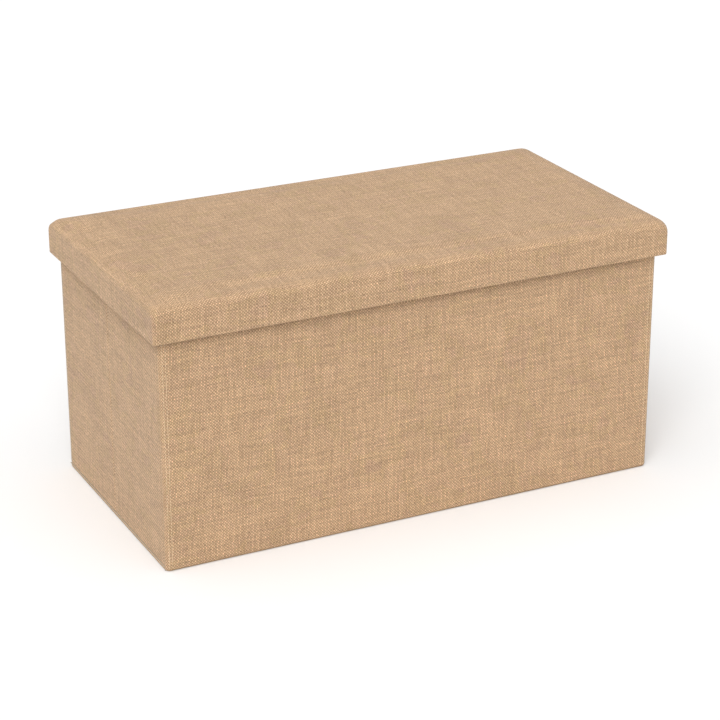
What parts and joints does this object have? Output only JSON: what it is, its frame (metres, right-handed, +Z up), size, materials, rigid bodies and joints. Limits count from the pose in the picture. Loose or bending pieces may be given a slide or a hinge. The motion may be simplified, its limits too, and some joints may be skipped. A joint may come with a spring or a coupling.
{
  "type": "storage bench",
  "caption": "Fabric-covered rectangular storage bench with a padded lift-off lid; its end walls fold inwards at a centre crease so the empty box closes flat.",
  "frame": {"origin": "centre of the underside, on the floor", "axes": "+X along the bench's length, +Z up, -Y towards the front"},
  "size_m": [0.76, 0.392, 0.374],
  "materials": {
    "linen": "tan linen-look plain weave",
    "lining": "matt non-woven cloth",
    "foam": "open-cell upholstery foam",
    "fibreboard": "raw medium-density fibreboard",
    "staple_steel": "galvanised wire"
  },
  "bodies": {
    "base_and_front": {"base_linen_cover": "linen", "base_board": "fibreboard", "base_lining": "lining", "front_linen_cover": "linen", "front_board": "fibreboard", "front_lining": "lining"},
    "lid": {"lid_linen_cover": "linen", "lid_foam_pad": "foam", "lid_board": "fibreboard", "lid_rim_board_front": "fibreboard", "lid_rim_board_back": "fibreboard", "lid_rim_board_left": "fibreboard", "lid_rim_board_right": "fibreboard", "lid_lining": "lining", "lid_staples": "staple_steel"},
    "left_front_half": {"left_front_half_linen_cover": "linen", "left_front_half_board": "fibreboard", "left_front_half_lining": "lining"},
    "left_rear_half": {"left_rear_half_linen_cover": "linen", "left_rear_half_board": "fibreboard", "left_rear_half_lining": "lining"},
    "back_wall": {"back_linen_cover": "linen", "back_board": "fibreboard", "back_lining": "lining"},
    "right_front_half": {"right_front_half_linen_cover": "linen", "right_front_half_board": "fibreboard", "right_front_half_lining": "lining"},
    "right_rear_half": {"right_rear_half_linen_cover": "linen", "right_rear_half_board": "fibreboard", "right_rear_half_lining": "lining"}
  },
  "joints": [
    {"name": "lid_lift", "type": "slide", "parent": "base_and_front", "child": "lid", "axis": [0, 0, 1], "range_m": [0, 0.25]},
    {"name": "left_front_fold", "type": "hinge", "parent": "base_and_front", "child": "left_front_half", "pos_m": [-0.3615, -0.178, 0.177], "axis": [0, 0, -1], "range_deg": [0, 90]},
    {"name": "left_rear_fold", "type": "hinge", "parent": "left_front_half", "child": "left_rear_half", "pos_m": [-0.3695, 0, 0.177], "axis": [0, 0, 1], "range_deg": [0, 180]},
    {"name": "back_wall_fold", "type": "hinge", "parent": "left_rear_half", "child": "back_wall", "pos_m": [-0.3615, 0.178, 0.177], "axis": [0, 0, -1], "range_deg": [0, 90]},
    {"name": "right_front_fold", "type": "hinge", "parent": "base_and_front", "child": "right_front_half", "pos_m": [0.3615, -0.178, 0.177], "axis": [0, 0, 1], "range_deg": [0, 90]},
    {"name": "right_rear_fold", "type": "hinge", "parent": "right_front_half", "child": "right_rear_half", "pos_m": [0.3695, 0, 0.177], "axis": [0, 0, -1], "range_deg": [0, 180]}
  ],
  "couplings": [
    {"joint": "left_rear_fold", "follows": "left_front_fold", "ratio": 2},
    {"joint": "back_wall_fold", "follows": "left_front_fold", "ratio": 1},
    {"joint": "right_front_fold", "follows": "left_front_fold", "ratio": 1},
    {"joint": "right_rear_fold", "follows": "left_front_fold", "ratio": 2}
  ]
}
